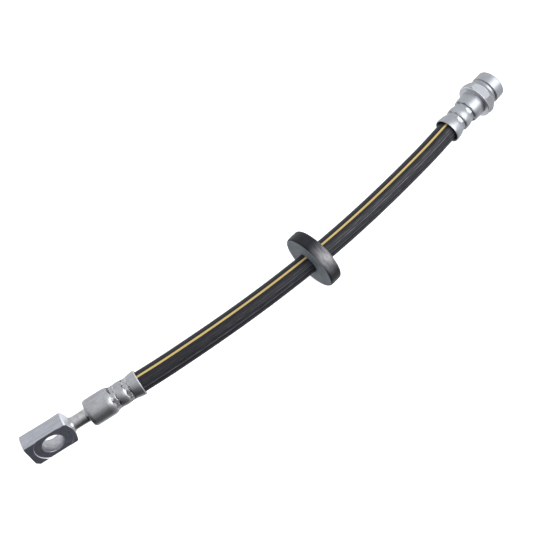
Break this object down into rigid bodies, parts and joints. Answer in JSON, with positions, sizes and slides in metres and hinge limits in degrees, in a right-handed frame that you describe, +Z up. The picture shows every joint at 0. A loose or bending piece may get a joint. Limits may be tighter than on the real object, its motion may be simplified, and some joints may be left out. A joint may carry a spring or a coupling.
{
  "type": "brake hose",
  "caption": "Flexible hydraulic brake hose with a banjo end, crimped ferrules, a rubber grommet and a hexagon female pipe end.",
  "frame": {"origin": "centre of the base of the metal ends and the grommet, on the surface that the hose lies on", "axes": "+X from the banjo end to the female end, +Z up, the hose's arc bulging towards -Y"},
  "size_m": [0.295, 0.0381, 0.0307],
  "materials": {
    "banjo_steel": "satin zinc plating, milled faces darker",
    "neck_steel": "zinc plating with a warm tint",
    "ferrule_steel": "satin zinc plating",
    "hose_rubber": "extruded, fine lengthwise lines and one golden stripe",
    "grommet_rubber": "moulded, matt",
    "fitting_steel": "bright satin zinc plating",
    "insert_steel": "turned, plain"
  },
  "bodies": {
    "root": {"banjo_block": "banjo_steel", "neck_tube": "neck_steel", "banjo_ferrule": "ferrule_steel", "hose": "hose_rubber", "grommet": "grommet_rubber", "female_fitting": "fitting_steel", "flare_insert": "insert_steel"}
  },
  "joints": []
}
